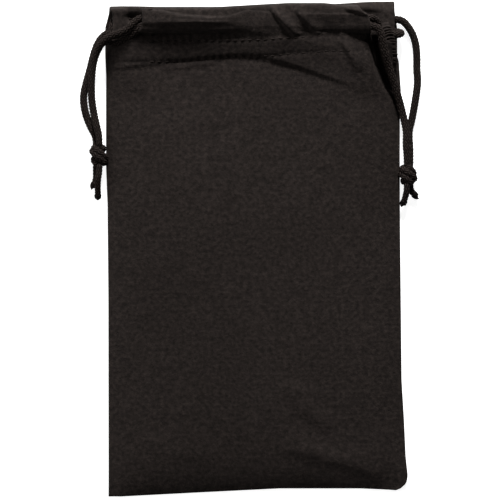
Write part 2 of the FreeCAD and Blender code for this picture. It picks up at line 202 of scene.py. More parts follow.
def knit(tree, coords, scale, direction):
    """Rows of stitches of the knit across one direction."""
    made = node(tree, "ShaderNodeTexWave", wave_type="BANDS", bands_direction=direction)
    made.inputs["Scale"].default_value = scale
    made.inputs["Distortion"].default_value = 1.2
    made.inputs["Detail"].default_value = 1.0
    tree.links.new(coords, made.inputs["Vector"])
    return made.outputs["Fac"]


def grey(value):
    return (value, value, value)


def shade(value, tint=(1.24, 0.96, 0.85)):
    """A dark grey of this brightness with the cloth's warm tint."""
    return tuple(value * t for t in tint)


def microfibre_material():
    """Brushed black microfibre: fine knit, soft mottling, a little bloom on the nap."""
    mat, tree, shader = new_material("microfibre")
    coords = node(tree, "ShaderNodeTexCoord").outputs["Object"]
    nap = noise(tree, coords, 2400.0, 4.0, 0.62)
    mottle = noise(tree, coords, 760.0, 4.0, 0.62)
    broad = noise(tree, coords, 38.0, 2.0, 0.5)
    knit_x = knit(tree, coords, 900.0, "X")
    knit_y = knit(tree, coords, 700.0, "Y")
    base = ramp(tree, mottle, [(0.32, shade(0.0062)), (0.5, shade(0.0112)), (0.68, shade(0.0185))])
    fine = ramp(tree, nap, [(0.25, grey(0.62)), (0.75, grey(1.0))])
    wide = ramp(tree, broad, [(0.3, (0.86, 0.85, 0.84)), (0.7, grey(1.0))])
    colour = multiply(tree, multiply(tree, base, fine), wide)
    tree.links.new(colour, shader.inputs["Base Color"])
    roughness_from(tree, shader, nap, 0.18, 0.78)
    knitted = bump(tree, add(tree, knit_x, knit_y), 0.25, 0.00012)
    brushed = bump(tree, nap, 0.35, 0.0003, knitted)
    mottled = bump(tree, mottle, 0.3, 0.0006, brushed)
    tree.links.new(mottled, shader.inputs["Normal"])
    shader.inputs["Specular IOR Level"].default_value = 0.06
    shader.inputs["Sheen Weight"].default_value = 0.004
    shader.inputs["Sheen Roughness"].default_value = 0.5
    shader.inputs["Sheen Tint"].default_value = (1.0, 0.86, 0.78, 1.0)
    return mat


def yarn_material(name, dark, light, scale, specular, roughness, shade_grooves=False):
    """Yarn: fibre streaks, brightness varying from place to place, and on a braid painted shade where the
    yarns meet, lighter on their crests.
    """
    mat, tree, shader = new_material(name)
    coords = node(tree, "ShaderNodeTexCoord").outputs["Object"]
    fibre = noise(tree, coords, scale, 4.0, 0.65)
    patch = noise(tree, coords, scale * 0.12, 2.0, 0.5)
    base = ramp(tree, fibre, [(0.3, dark), (0.72, light)])
    wide = ramp(tree, patch, [(0.3, (0.7, 0.69, 0.68)), (0.7, grey(1.0))])
    colour = multiply(tree, base, wide)
    if shade_grooves:
        relief = node(tree, "ShaderNodeAttribute", attribute_name="relief").outputs["Fac"]
        # Painted shade: darkest in the grooves between the yarns and lighter on their crests, from the
        # braid's height
        groove_shade = ramp(tree, relief, [(0.45, grey(0.03)), (0.72, grey(0.4)), (0.92, grey(1.25))])
        colour = multiply(tree, colour, groove_shade)
    tree.links.new(colour, shader.inputs["Base Color"])
    roughness_from(tree, shader, fibre, 0.2, roughness)
    tree.links.new(bump(tree, fibre, 0.4, 0.00015), shader.inputs["Normal"])
    shader.inputs["Specular IOR Level"].default_value = specular
    return mat


def floor_material():
    """Plain pale table."""
    mat, tree, shader = new_material("pale_table")
    coords = node(tree, "ShaderNodeTexCoord").outputs["Object"]
    grain = noise(tree, coords, 60.0, 2.0, 0.5)
    colour = ramp(tree, grain, [(0.3, grey(0.5)), (0.7, grey(0.52))])
    tree.links.new(colour, shader.inputs["Base Color"])
    tree.links.new(colour, shader.inputs["Emission Color"])
    shader.inputs["Emission Strength"].default_value = 1.75
    shader.inputs["Roughness"].default_value = 0.9
    return mat


MICROFIBRE = microfibre_material()
CORD = yarn_material("braided_cord", shade(0.007), shade(0.021), 2600.0, 0.02, 0.7, shade_grooves=True)
THREAD = yarn_material("sewing_thread", shade(0.006), shade(0.0145), 4200.0, 0.03, 0.6)
OVERLOCK = yarn_material("overlock_thread", shade(0.0075), shade(0.0165), 4200.0, 0.03, 0.6)
TIP = yarn_material("fused_tip", shade(0.0015), shade(0.004), 900.0, 0.03, 0.55)


# ---------------------------------------------------------------------------------------------
# Braided cord
# ---------------------------------------------------------------------------------------------
CORD_DIAMETER = 2.5
CARRIERS = 8
LEAD = 9.0
BRAID_DEPTH = 0.5
FULL_RADIUS = CORD_DIAMETER / 2 + 0.11
KNOT_RADIUS = 1.15
PINCHED_RADIUS = 0.9
WRAP_RADIUS = 1.24
AROUND = 60
SPACING = 0.15
RUN_AROUND = 32
RUN_SPACING = 0.3

# Radius of the cord along each kind of stretch, as (share of its length, radius)
EVEN_RADII = ((0.0, FULL_RADIUS), (1.0, FULL_RADIUS))
STRAND_RADII = ((0.0, FULL_RADIUS), (0.88, FULL_RADIUS), (0.96, 1.2), (1.0, KNOT_RADIUS))
TAIL_RADII = ((0.0, KNOT_RADIUS), (0.35, 1.16), (1.0, 1.1))
KNOT_RADII = (
    (0.0, KNOT_RADIUS), (0.14, PINCHED_RADIUS), (0.26, WRAP_RADIUS), (0.76, WRAP_RADIUS),
    (0.87, PINCHED_RADIUS), (1.0, KNOT_RADIUS),
)


def spline_points(route):
    """The line that a route's control points stand for, in millimetres, from the curve itself."""
    curve = bpy.data.curves.new("route", "CURVE")
    curve.dimensions = "3D"
    line = curve.splines.new("NURBS")
    line.points.add(len(route) - 1)
    for point, place_mm in zip(line.points, route):
        point.co = (*(v * MM for v in place_mm), 1.0)
    line.order_u = 3
    line.use_endpoint_u = True
    line.resolution_u = 24
    obj = bpy.data.objects.new("route", curve)
    bpy.context.scene.collection.objects.link(obj)
    bpy.context.view_layer.update()
    mesh = bpy.data.meshes.new_from_object(obj)
    points = np.array([v.co for v in mesh.vertices]) / MM
    bpy.data.objects.remove(obj)
    bpy.data.curves.remove(curve)
    bpy.data.meshes.remove(mesh)
    if np.linalg.norm(points[0] - route[0]) > np.linalg.norm(points[-1] - route[0]):
        points = points[::-1]
    return points


def resample(points, spacing):
    """Evenly spaced points along a line, and how far along each is."""
    gaps = np.linalg.norm(np.diff(points, axis=0), axis=1)
    points = points[np.concatenate([[True], gaps > 1e-6])]
    far = np.concatenate([[0.0], np.cumsum(np.linalg.norm(np.diff(points, axis=0), axis=1))])
    count = max(4, int(far[-1] / spacing) + 1)
    along = np.linspace(0.0, far[-1], count)
    return np.stack([np.interp(along, far, points[:, k]) for k in range(3)], 1), along


def frames_along(points):
    """Directions across a line at each point, without twist, starting from straight up."""
    tangent = np.gradient(points, axis=0)
    tangent /= np.linalg.norm(tangent, axis=1)[:, None]
    up = np.array([0.0, 0.0, 1.0])
    if abs(tangent[0, 2]) > 0.9:
        up = np.array([0.0, 1.0, 0.0])
    normals = []
    for t in tangent:
        up = up - t * np.dot(up, t)
        up = up / np.linalg.norm(up)
        normals.append(up)
    normals = np.array(normals)
    return tangent, normals, np.cross(tangent, normals)


def braid_height(turn, along):
    """0 to 1: the surface of a two-over-two braid of eight yarns each way."""
    a = (turn - along / LEAD) * CARRIERS
    b = (turn + along / LEAD) * CARRIERS
    ia = np.floor(a)
    ib = np.floor(b)
    crest_a = np.sqrt(np.clip(1.0 - (2.0 * (a - ia) - 1.0) ** 2, 0.0, 1.0))
    crest_b = np.sqrt(np.clip(1.0 - (2.0 * (b - ib) - 1.0) ** 2, 0.0, 1.0))
    over_a = 0.5 + 0.5 * np.cos(np.pi / 2 * (b - ia - 1.0))
    over_b = 0.5 + 0.5 * np.cos(np.pi / 2 * (a - ib - 2.0))
    return np.maximum(crest_a * (0.45 + 0.55 * over_a), crest_b * (0.45 + 0.55 * over_b))


def braid_tube(points, radii, around=AROUND, spacing=SPACING, reverse=False):
    """A braided tube along a line: its vertices, faces, centre line and relief."""
    centre, along = resample(points, spacing)
    tangent, normal, side = frames_along(centre)
    angle = np.linspace(0.0, 2.0 * np.pi, around, endpoint=False)
    turn, far = np.meshgrid(angle / (2.0 * np.pi), along)
    height = braid_height(-turn, -far) if reverse else braid_height(turn, far)
    share = along / along[-1]
    radius = table(share, radii)[:, None]
    rise = radius - BRAID_DEPTH * radius / (CORD_DIAMETER / 2) * (1.0 - height)
    ring = np.cos(angle)[None, :, None] * normal[:, None, :]
    ring = ring + np.sin(angle)[None, :, None] * side[:, None, :]
    verts = centre[:, None, :] + ring * rise[:, :, None]
    rows = len(centre)
    verts = verts.reshape(-1, 3)
    faces = [f[::-1] for f in grid_faces(rows, around, closed=True)]
    first = len(verts)
    ends = np.array([centre[0] - tangent[0] * 0.25, centre[-1] + tangent[-1] * 0.25])
    verts = np.concatenate([verts, ends])
    relief = np.concatenate([height.ravel(), [0.5, 0.5]])
    base = (rows - 1) * around
    for k in range(around):
        n = (k + 1) % around
        faces.append((first, n, k))
        faces.append((first + 1, base + k, base + n))
    return verts, faces, centre, relief


def braid_piece(name, body, points, radii, around=AROUND, spacing=SPACING, reverse=False):
    """A stretch of cord that stands for the node of its name, and its centre line."""
    verts, faces, path, relief = braid_tube(points, radii, around, spacing, reverse)
    obj = make_mesh(name + "_braid", verts, faces, CORD, relief)
    return place(obj, body, "braided_cord", name), path


def join(parts):
    """One list of vertices and faces from several."""
    verts, faces, start = [], [], 0
    for v, f in parts:
        verts.append(v)
        faces.extend([tuple(i + start for i in face) for face in f])
        start += len(v)
    return np.concatenate(verts), faces


# Free ends: control points of each one's line, as in the part
LEFT_FRONT_STRAND = (
    (-38, 79.4, 10.3), (-40.4, 79.4, 10.3), (-43.0, 76.8, 10.2), (-45.6, 74.7, 9.9),
    (-49.0, 73.8, 9.1), (-52.2, 72.2, 7.9), (-54.7, 69.2, 6.0), (-56.4, 64.6, 4.4), (-57.1, 58.6, 3.4),
    (-57.1, 52.4, 2.5), (-56.3, 47.0, 2.5), (-55.2, 42.4, 3.6), (-54.25, 39.2, 4.2),
    (-54.25, 36.4, 4.2),
)
LEFT_REAR_STRAND = (
    (-48.2, 75.3, 2.0), (-50.6, 75.3, 2.0), (-53.2, 73.9, 1.9), (-55.1, 71.2, 1.7), (-56.5, 67.2, 1.45),
    (-57.6, 62.6, 1.35), (-58.9, 58.0, 1.3), (-60.0, 53.6, 1.3), (-59.7, 49.2, 1.3), (-58.7, 45.4, 1.35),
    (-57.2, 42.0, 1.6), (-55.55, 39.0, 1.9), (-55.55, 36.4, 1.9),
)
RIGHT_FRONT_STRAND = (
    (39, 76.6, 10.3), (41.2, 76.6, 10.3), (42.7, 74.6, 10.2), (43.4, 71.4, 9.7), (44.3, 67.5, 8.6),
    (45.4, 63.5, 7.2), (46.8, 59.6, 5.9), (48.1, 55.6, 4.8), (49.3, 51.6, 3.9), (50.3, 47.8, 3.3),
    (51.2, 44.1, 3.3), (51.9, 40.4, 3.9), (51.7, 36.4, 4.0), (51.95, 32.6, 4.2), (51.95, 29.3, 4.2),
)
RIGHT_REAR_STRAND = (
    (48.2, 79.6, 2.0), (50.2, 79.6, 2.0), (52.4, 77.4, 1.8), (54.3, 74.2, 1.55), (55.3, 70.6, 1.35),
    (55.6, 66.4, 1.3), (55.5, 62.4, 1.3), (55.9, 58.6, 1.3), (55.5, 54.8, 1.3), (54.9, 51.0, 1.3),
    (54.3, 47.6, 1.3), (53.7, 44.4, 1.3), (52.7, 40.8, 1.3), (53.0, 36.6, 1.45), (53.25, 32.6, 1.9),
    (53.25, 29.3, 1.9),
)
LEFT_FRONT_TAIL = (
    (-54.25, 28.8, 4.2), (-54.25, 27.0, 4.2), (-54.8, 24.0, 4.1), (-54.9, 20.8, 3.1), (-54.8, 17.8, 1.6),
)
LEFT_REAR_TAIL = ((-55.55, 28.8, 1.9), (-55.55, 27.2, 1.9), (-55.5, 24.2, 1.4), (-56.6, 21.6, 1.3))
RIGHT_FRONT_TAIL = ((51.95, 22.3, 4.2), (51.95, 20.4, 4.2), (51.5, 18.2, 3.3), (50.7, 15.6, 2.2))
RIGHT_REAR_TAIL = ((53.25, 22.3, 1.9), (53.25, 20.8, 1.9), (54.2, 19.4, 1.6), (55.5, 18.4, 1.4))

# The rest of each cord: its runs in the tunnels, and the bight round the far edge of the pouch
RUNS = {
    "left_cord_front_run": ((-38, 79.4, 10.3), (-10, 79.4, 10.3), (36.7, 79.4, 10.3)),
    "left_cord_back_run": ((-48.2, 75.3, 2.0), (0, 75.3, 2.0), (46.7, 75.3, 2.0)),
    "right_cord_front_run": ((39, 76.6, 10.3), (10, 76.6, 10.3), (-36.7, 76.6, 10.3)),
    "right_cord_back_run": ((48.2, 79.6, 2.0), (0, 79.6, 2.0), (-46.7, 79.6, 2.0)),
}
BIGHTS = {
    "left_cord_bight": (
        (37, 79.4, 10.3), (39.3, 79.6, 10.3), (41.2, 79.0, 8.0), (43.0, 75.6, 6.2), (46.0, 74.0, 5.7),
        (49.9, 74.2, 5.7), (49.9, 75.3, 2.0), (47, 75.3, 2.0),
    ),
    "right_cord_bight": (
        (-37, 76.6, 10.3), (-39.4, 76.6, 10.3), (-42.4, 74.0, 8.6), (-45.6, 72.0, 7.0),
        (-48.6, 70.9, 6.2), (-50.6, 71.2, 5.3), (-50.2, 73.8, 5.2), (-49.7, 77.4, 4.5), (-49.4, 79.6, 2.0),
        (-47, 79.6, 2.0),
    ),
}

# Knots: where each one's axis is in X and Z, and how a strand goes round it
KNOT_AXIS = {"left": (-54.5, 3.05), "right": (52.3, 3.05)}
KNOT_FLATNESS = 0.84
WRAP_POINTS = 15
WRAP_START = 1.4
WRAP_ANGLE = 6.9
WRAP_REACH = 2.3

# Melted tips of the front and rear tails: how far each is cut aslant
TIP_SLANTS = {"left": (0.1, 0.35), "right": (0.45, 0.5)}
TIP_RADIUS = 1.2
TIP_LENGTH = 2.3
TIP_OVERLAP = 1.5


def knot_line(enter, leave, axis):
    """One strand's line through an overhand knot: down the core, round it, and out below."""
    axis_x, axis_z = axis
    middle = (enter[1] + leave[1]) / 2
    half = (enter[1] - leave[1]) / 2
    start = math.atan2(enter[2] - axis_z, enter[0] - axis_x)
    gap = math.hypot(enter[2] - axis_z, enter[0] - axis_x)
    # reach from the axis, angle round it, share of half the knot's length
    stops = [(gap, 0.0, 1.1), (gap * 0.9, 0.0, 0.75), (0.9, 0.1, 0.2), (0.9, 0.4, -0.35), (1.35, 0.9, -0.72)]
    for k in range(WRAP_POINTS):
        share = k / (WRAP_POINTS - 1)
        angle = WRAP_START + share * WRAP_ANGLE
        belly = 1.0 - 0.34 * abs(2.0 * share - 1.0) ** 2.2
        slant = -0.3 * math.cos(start + angle) * math.sin(share * math.pi) ** 0.5
        reach = WRAP_REACH * belly + 0.08 * math.sin(3 * angle)
        stops.append((reach, angle, -0.66 + 1.3 * share + slant))
    stops += [(1.3, 8.9, 0.74), (0.8, 9.3, 0.25), (0.85, 3 * math.pi, -0.4)]
    stops += [(gap * 0.9, math.tau, -0.78), (gap, math.tau, -1.1)]
    points = []
    for reach, angle, share in stops:
        turned = start + angle
        across = reach * math.cos(turned)
        up = reach * math.sin(turned) * KNOT_FLATNESS
        points.append((axis_x + across, middle + share * half, axis_z + up))
    points[0] = (enter[0], enter[1] + 0.3, enter[2])
    points[-1] = (leave[0], leave[1] - 0.3, leave[2])
    return points


def knot_piece(name, body, ends, axis):
    """Both strands of one cord tied together in an overhand knot."""
    parts, reliefs = [], []
    for enter, leave in ends:
        line = spline_points(knot_line(enter, leave, axis))
        verts, faces, _, relief = braid_tube(line, KNOT_RADII, AROUND - 16, SPACING * 1.1)
        parts.append((verts, faces))
        reliefs.append(relief)
    verts, faces = join(parts)
    obj = make_mesh(name, verts, faces, CORD, np.concatenate(reliefs))
    return place(obj, body, "braided_cord", name.replace("_tied", ""))


def tip_piece(name, body, end, before, slant):
    """The melted end of a tail: a short dark bead, cut at a slant."""
    end = np.array(end, float)
    axis = end - np.array(before, float)
    axis /= np.linalg.norm(axis)
    across = np.cross(axis, (0.0, 0.0, 1.0))
    across /= np.linalg.norm(across)
    up = np.cross(across, axis)
    around, rings = 28, 14
    verts = []
    for r in range(rings):
        share = r / (rings - 1)
        size = TIP_RADIUS * (1.0 - 0.96 * max(0.0, (share - 0.25) / 0.75) ** 3)
        if r == 0:
            size = TIP_RADIUS * 0.93
        for k in range(around):
            a = math.tau * k / around
            lump = 1.0 + 0.05 * math.sin(3 * a + 4 * share) + 0.03 * math.sin(7 * a)
            shift = -TIP_OVERLAP + TIP_LENGTH * share + slant * math.cos(a) * share
            verts.append(end + axis * shift + (across * math.cos(a) + up * math.sin(a)) * size * lump)
    faces = [f[::-1] for f in grid_faces(rings, around, closed=True)]
    faces.append(tuple(range(around)))
    faces.append(tuple(range((rings - 1) * around, rings * around))[::-1])
    obj = make_mesh(name, np.array(verts), faces, TIP)
    return place(obj, body, "braided_cord")


def cord_side(side, strands, tails):
    """Everything that moves with one drawcord: its knot, tails, tips and free strands."""
    body = side + "_drawcord"
    ends = [(strand[-1], tail[0]) for strand, tail in zip(strands, tails)]
    hung = [knot_piece(side + "_cord_knot_tied", body, ends, KNOT_AXIS[side])]
    for end, tail, slant in zip(("front", "rear"), tails, TIP_SLANTS[side]):
        line = spline_points(tail)
        hung.append(braid_piece(f"{side}_cord_{end}_tail", body, line, TAIL_RADII)[0])
        hung.append(tip_piece(f"{side}_{end}_tip", body, line[-1], line[-3], slant))
    for end, route, others in (("front", strands[0], hung), ("rear", strands[1], [])):
        obj, path = braid_piece(f"{side}_cord_{end}_strand", body, spline_points(route), STRAND_RADII)


cord_side("left", (LEFT_FRONT_STRAND, LEFT_REAR_STRAND), (LEFT_FRONT_TAIL, LEFT_REAR_TAIL))
cord_side("right", (RIGHT_FRONT_STRAND, RIGHT_REAR_STRAND), (RIGHT_FRONT_TAIL, RIGHT_REAR_TAIL))

for run, route in RUNS.items():
    run_body = run.split("_")[0] + "_drawcord"
    braid_piece(run, run_body, spline_points(route), EVEN_RADII, RUN_AROUND, RUN_SPACING, reverse=True)
for bight, route in BIGHTS.items():
    braid_piece(bight, "pouch", spline_points(route), EVEN_RADII)


# ---------------------------------------------------------------------------------------------
# Cloth: each panel is one sheet, from its bottom seam allowance up, over the cords and back in
# ---------------------------------------------------------------------------------------------
CLOTH = 0.45
FOLD = 0.25  # half the distance between the middles of two folded layers
TURN_IN = 3.4
LAYER_GAP = 0.55
BOTTOM = -84.5
TUNNEL_START = 72.0
HEM_END = 64.6
FRONT_STEPS = 20.0
BACK_STEPS = 14.0
BACK_REST = 0.24
LOWEST = CLOTH / 2 + 0.01
LEFT_EDGE = (
    (-84.5, -51.0), (-17, -51.1), (16, -51.4), (28, -51.9), (60, -51.9), (67, -52.2), (77, -52.2),
    (81, -51.0), (84.5, -50.7),
)
RIGHT_EDGE = (
    (-84.5, 48.2), (-83.9, 49.8), (-83.0, 51.0), (-81.5, 51.9), (-79.5, 52.2), (-72.6, 51.5), (-58.8, 50.9),
    (-45, 50.1), (-4, 49.7), (17, 49.5), (44, 49.5), (55, 49.8), (64.7, 49.1), (67, 48.6), (77, 48.5),
    (83, 47.6), (86, 47.4),
)
BOTTOM_EDGE = ((-52, -85.3), (-47, -85.4), (-20, -84.0), (8, -82.6), (36, -82.6), (45, -83.0), (52, -83.2))
UPPER_ROW = ((-52, 71.2), (-37, 71.6), (0, 71.9), (25, 73.3), (40, 73.6), (52, 73.0))
LOWER_ROW = ((-52, 64.3), (-37, 64.7), (-26, 64.9), (-9, 66.4), (5, 66.5), (10, 67.1), (24, 68.1), (50, 68.6))
STITCH_PITCH = 2.6

# Creases: line, height, width of the gentle side, width of the steep side. The steep side is on
# the right of the line's direction.
ARCH = ((-50, 61.9), (-26.4, 65.0), (-9.1, 66.4), (1.9, 66.1), (13.3, 63.0), (29.5, 57.4), (37, 54.6))
BODY_CREASES = (
    (ARCH, 0.35, 3.5, 0.9),
    (((-33, 62.4), (-24, 63.3), (-13, 64.7)), 0.35, 0.9, 0.9),
    (((28.6, 73.0), (32.0, 67.2), (35.4, 61.0)), 0.9, 2.6, 0.8),
    (((9, -46), (16.5, -54.5), (25.5, -63.5)), 0.6, 4.2, 2.6),
    (((8, -69.3), (24, -73.5), (44, -79.3)), 0.7, 3.8, 2.3),
    (((12, -48), (26, -50.5)), 0.25, 2.2, 1.6),
    (((-46, -62), (-30, -70), (-12, -73)), 0.2, 3.5, 2.6),
    (((-44, 36), (-20, 44), (6, 47)), 0.22, 5.0, 3.5),
)
ROOF_CREASES = (
    (((4.4, 83.0), (9.2, 77.8), (14.2, 72.4)), 1.5, 2.2, 0.6),
    (((13.0, 82.4), (17.0, 78.2), (21.6, 73.8)), 0.9, 2.0, 0.7),
    (((30.0, 82.6), (34.5, 81.6), (38.6, 80.4)), 1.0, 1.2, 0.5),
)
# Slow waves of the cloth: rate, heading and phase of each
WAVES = [(rng.uniform(0.02, 0.11), *rng.uniform(0, math.tau, 2)) for _ in range(9)]


def crease(x, y, line, height, gentle, steep):
    """A ridge along a line, fading out at its ends."""
    spans = [math.dist(p, q) for p, q in zip(line[:-1], line[1:])]
    total = sum(spans)
    nearest = np.full(x.shape, 1e9)
    signed = np.zeros(x.shape)
    share = np.zeros(x.shape)
    far = 0.0
    for (px, py), (qx, qy), span in zip(line[:-1], line[1:], spans):
        dx, dy = (qx - px) / span, (qy - py) / span
        t = np.clip((x - px) * dx + (y - py) * dy, 0.0, span)
        off_x, off_y = x - px - t * dx, y - py - t * dy
        away = np.hypot(off_x, off_y)
        side = dx * off_y - dy * off_x
        take = away < nearest
        nearest = np.where(take, away, nearest)
        signed = np.where(take, np.where(side >= 0, away, -away), signed)
        share = np.where(take, (far + t) / total, share)
        far += span
    width = np.where(signed >= 0, gentle, steep)
    fade = np.clip(4.0 * share * (1.0 - share), 0.0, 1.0) ** 0.6
    return height * fade * np.exp(-((signed / width) ** 2))


def undulation(x, y):
    """Slow waves of cloth that was handled and laid down."""
    total = np.zeros(x.shape)
    for rate, heading, phase in WAVES:
        along = x * math.cos(heading) + y * math.sin(heading)
        total = total + np.sin(2 * rate * along + phase)
    return total / len(WAVES)


def row_pucker(x, y):
    """The cloth drawn down at the two rows of stitching, and puckered between the stitches."""
    total = np.zeros(x.shape)
    for row, groove_shade, between in ((UPPER_ROW, 0.24, 0.1), (LOWER_ROW, 0.3, 0.2)):
        off = y - table(x, row)
        total = total - groove_shade * np.exp(-((off / 0.8) ** 2))
        total = total + between * np.exp(-((off / 1.3) ** 2)) * np.cos(x * math.tau / STITCH_PITCH)
    return total * (1.0 - 0.55 * step(x, 0.0, 22.0))


# Across the panel: the hem's step over the arched crease, the band's slope up to the tunnel, and
# the slower swell on the right
STEP_HEIGHT = (
    (-52, 0.4), (-20, 0.45), (-4, 0.5), (4, 0.7), (16, 0.7), (24, 0.55), (32, 0.38), (38, 0.15), (44, 0.0),
)
BAND_SLOPE = (
    (-52, 0.14), (-38, 0.26), (-17, 0.42), (-6, 0.4), (8, 0.36), (14, 0.2), (24, 0.05), (30, 0.0),
)
SWELL = ((4, 0.0), (13, 0.9), (22, 1.8), (30, 2.0), (38, 1.2), (46, 0.0))


def front_top(x, y):
    """Height of the front panel's middle, before its sides fall away."""
    rise = 0.9 + 3.6 * (1.0 - np.exp(-(y - BOTTOM) / 7.0)) + 3.2 * smooth((y + 75.0) / 140.0)
    above = y - table(x, ARCH)
    z = rise - 2.0 * np.exp(-(((x + 26.0) / 17.0) ** 2)) * step(y, 20, 58)
    z = z + table(x, STEP_HEIGHT) * step(above, -0.7, 0.8)
    z = z + table(x, BAND_SLOPE) * np.clip(above, 0.0, 10.0) + table(x, SWELL) * step(above, 0.0, 14.0)
    z = z + 0.35 * undulation(x, y) * step(y, BOTTOM, -60)
    for line, height, gentle, steep in BODY_CREASES:
        z = z + crease(x, y, line, height, gentle, steep)
    valley = step(y, -34, -14) * (1.0 - step(y, 40, 56))
    z = z - 0.45 * valley * np.exp(-(((x - 40.0) / 2.6) ** 2))
    return z + row_pucker(x, y)


# Up the pouch beside the right drawcord: X where the front falls away into a trench, and how high
# the cloth is again on the trench's far side
TRENCH = ((42, 53.5), (47.5, 50.6), (51.2, 48.0), (56, 44.6), (63.7, 41.0), (70.5, 39.6), (74.7, 39.0))
RIDGE = (
    (50, 0.0), (51.6, 0.35), (55.6, 1.2), (59.6, 2.2), (63.5, 3.5), (67.5, 4.9), (71.4, 6.0), (74, 6.4),
)


def shoulder(x, y):
    """0 to 1: how much of the front's height is left towards the sides and the bottom."""
    left = table(y, LEFT_EDGE)
    right = table(y, RIGHT_EDGE)
    u = np.where(x < 0, x / left, x / right)
    power = 5.0 + 5.0 * step(y, 50, 66) + 4.0 * (1.0 - step(y, BOTTOM, -60))
    full = 1.0 - np.clip(u, 0, 1) ** power
    left_line = -41.5 - np.maximum(75.4 - y, 0.0) * 2.8
    return full * (1.0 - step(x - table(y, TRENCH), -1.8, 1.3)) * (1.0 - step(left_line - x, -2.0, 2.5))


def front_height(x, y):
    """Height of the front panel, down to the folded margins at its seams."""
    margin = 1.42 + FOLD + 2.9 * step(y, 69.5, 73.0) * (1.0 - step(x, 30.0, 36.0))
    margin = margin + table(y, RIDGE) * step(x - table(y, TRENCH), 1.6, 3.2) * (1.0 - step(x, 46.4, 48.8))
    return margin + (front_top(x, y) - margin) * shoulder(x, y)


def spline_at(controls, t):
    """Catmull-Rom through a list of same-shaped arrays, at t counted in steps of the list."""
    stack = np.stack(controls)
    k = np.clip(np.floor(t).astype(int), 0, len(controls) - 2)
    f = t - k

    def pick(i):
        return np.take_along_axis(stack, np.clip(i, 0, len(controls) - 1)[None], 0)[0]

    p0, p1, p2, p3 = pick(k - 1), pick(k), pick(k + 1), pick(k + 2)
    return 0.5 * (
        2 * p1 + (p2 - p0) * f + (2 * p0 - 5 * p1 + 4 * p2 - p3) * f**2 + (3 * p1 - p0 - 3 * p2 + p3) * f**3
    )


# The front tunnel across the pouch: Y of its top edge and of the line where its roll turns over,
# and the heights of its wall, of the roll on both sides of that line, and of the wall's foot
FRONT_TOP = (
    (-39, 83.2), (-30, 82.9), (-17, 82.8), (-5, 83.5), (0, 83.8), (11, 84.4), (23, 84.4), (28, 83.9),
    (40, 83.6),
)
ROLL_LINE = (
    (-39, 82.4), (-34, 81.6), (-26, 79.9), (-17, 79.2), (-10, 79.4), (-3, 81.4), (2, 81.0), (12, 80.6),
    (17, 80.4), (40, 80.2),
)
WALL_TOP = (
    (-39, 12.7), (-30, 13.1), (-15, 13.1), (-8, 12.4), (-2, 12.2), (12, 12.1), (17, 12.35), (33, 12.3),
    (40, 12.2),
)
BEFORE_LINE = (
    (-39, 12.7), (-30, 13.1), (-15, 13.0), (-9, 12.6), (-2, 12.4), (12, 12.3), (17, 13.3), (33, 13.0),
    (40, 12.3),
)
AFTER_LINE = ((-39, 12.2), (-3, 12.1), (2, 12.1), (12, 12.3), (17, 13.2), (33, 12.9), (40, 12.2))
FOOT_RISE = ((-7, -0.35), (-1, 1.0), (12, 1.1), (17, 0.3), (33, 0.1), (40, 0.0))
WALL_FACE = ((-7, 10.3), (-1, 11.4), (12, 11.45), (18, 11.0), (33, 10.8), (40, 10.4))


def front_tunnel(x, t):
    """Y and Z of the front's drawcord tunnel, t steps along its way round."""
    one = np.ones(x.shape)
    row_z = front_height(x, TUNNEL_START * one)
    foot_z = np.minimum(row_z + table(x, FOOT_RISE), 11.2)
    top_y = table(x, FRONT_TOP)
    line_y = np.minimum(table(x, ROLL_LINE), top_y - 1.7)
    wall_z = table(x, WALL_TOP)
    before = table(x, BEFORE_LINE)
    after = table(x, AFTER_LINE)
    start = (TUNNEL_START - 1.0) * one
    under = front_height(x, start) - LAYER_GAP
    controls = (
        (start, front_height(x, start)),
        (TUNNEL_START * one, row_z),
        (73.1 * one, (row_z + foot_z) / 2 - 0.1),
        (74.2 * one, foot_z),
        (74.85 * one, np.maximum(table(x, WALL_FACE), foot_z)),
        (75.5 * one, np.maximum(11.5, table(x, WALL_FACE) + 0.2)),
        (76.6 * one, 12.0 * one),
        (77.8 * one, wall_z),
        ((77.8 + line_y) / 2, (wall_z + before) / 2 + 0.03),
        (line_y, before),
        (line_y + 0.7, after),
        (top_y - 0.9, after - 0.15),
        (top_y - 0.2, 11.1 * one),
        (top_y, 10.0 * one),
        (top_y - 0.6, 8.9 * one),
        (top_y - 2.4, 8.45 * one),
        (76.0 * one, 8.42 * one),
        (73.6 * one, np.minimum(8.7, under)),
        (start, under),
        (68.0 * one, front_height(x, 68.0 * one) - LAYER_GAP),
        (HEM_END * one, front_height(x, HEM_END * one) - LAYER_GAP),
    )
    y = spline_at([c[0] for c in controls], t)
    z = spline_at([c[1] for c in controls], t)
    on_roof = step(t, 1.5, 3.0) * (1.0 - step(t, 10.5, 12.5))
    for line, height, gentle, steep in ROOF_CREASES:
        z = z + on_roof * crease(x, y, line, height, gentle, steep)
    z = z + on_roof * 0.16 * np.sin(x * 0.55 + 0.4 * np.sin(x * 0.21)) * step(t, 5, 8)
    return y, z


BACK_TOP = (
    (-52, 83.9), (-47, 84.0), (-35, 83.8), (-14, 83.8), (0, 84.2), (20, 84.5), (27, 84.8), (40, 85.5),
    (52, 85.7),
)


def back_height(x, y):
    """Height of the rear panel's layer on the table."""
    inland = step(y, BOTTOM, -70) * (1 - step(np.abs(x), 40, 50))
    return BACK_REST + 0.08 * (1 + undulation(x * 1.3 + 40, y * 1.3)) * inland


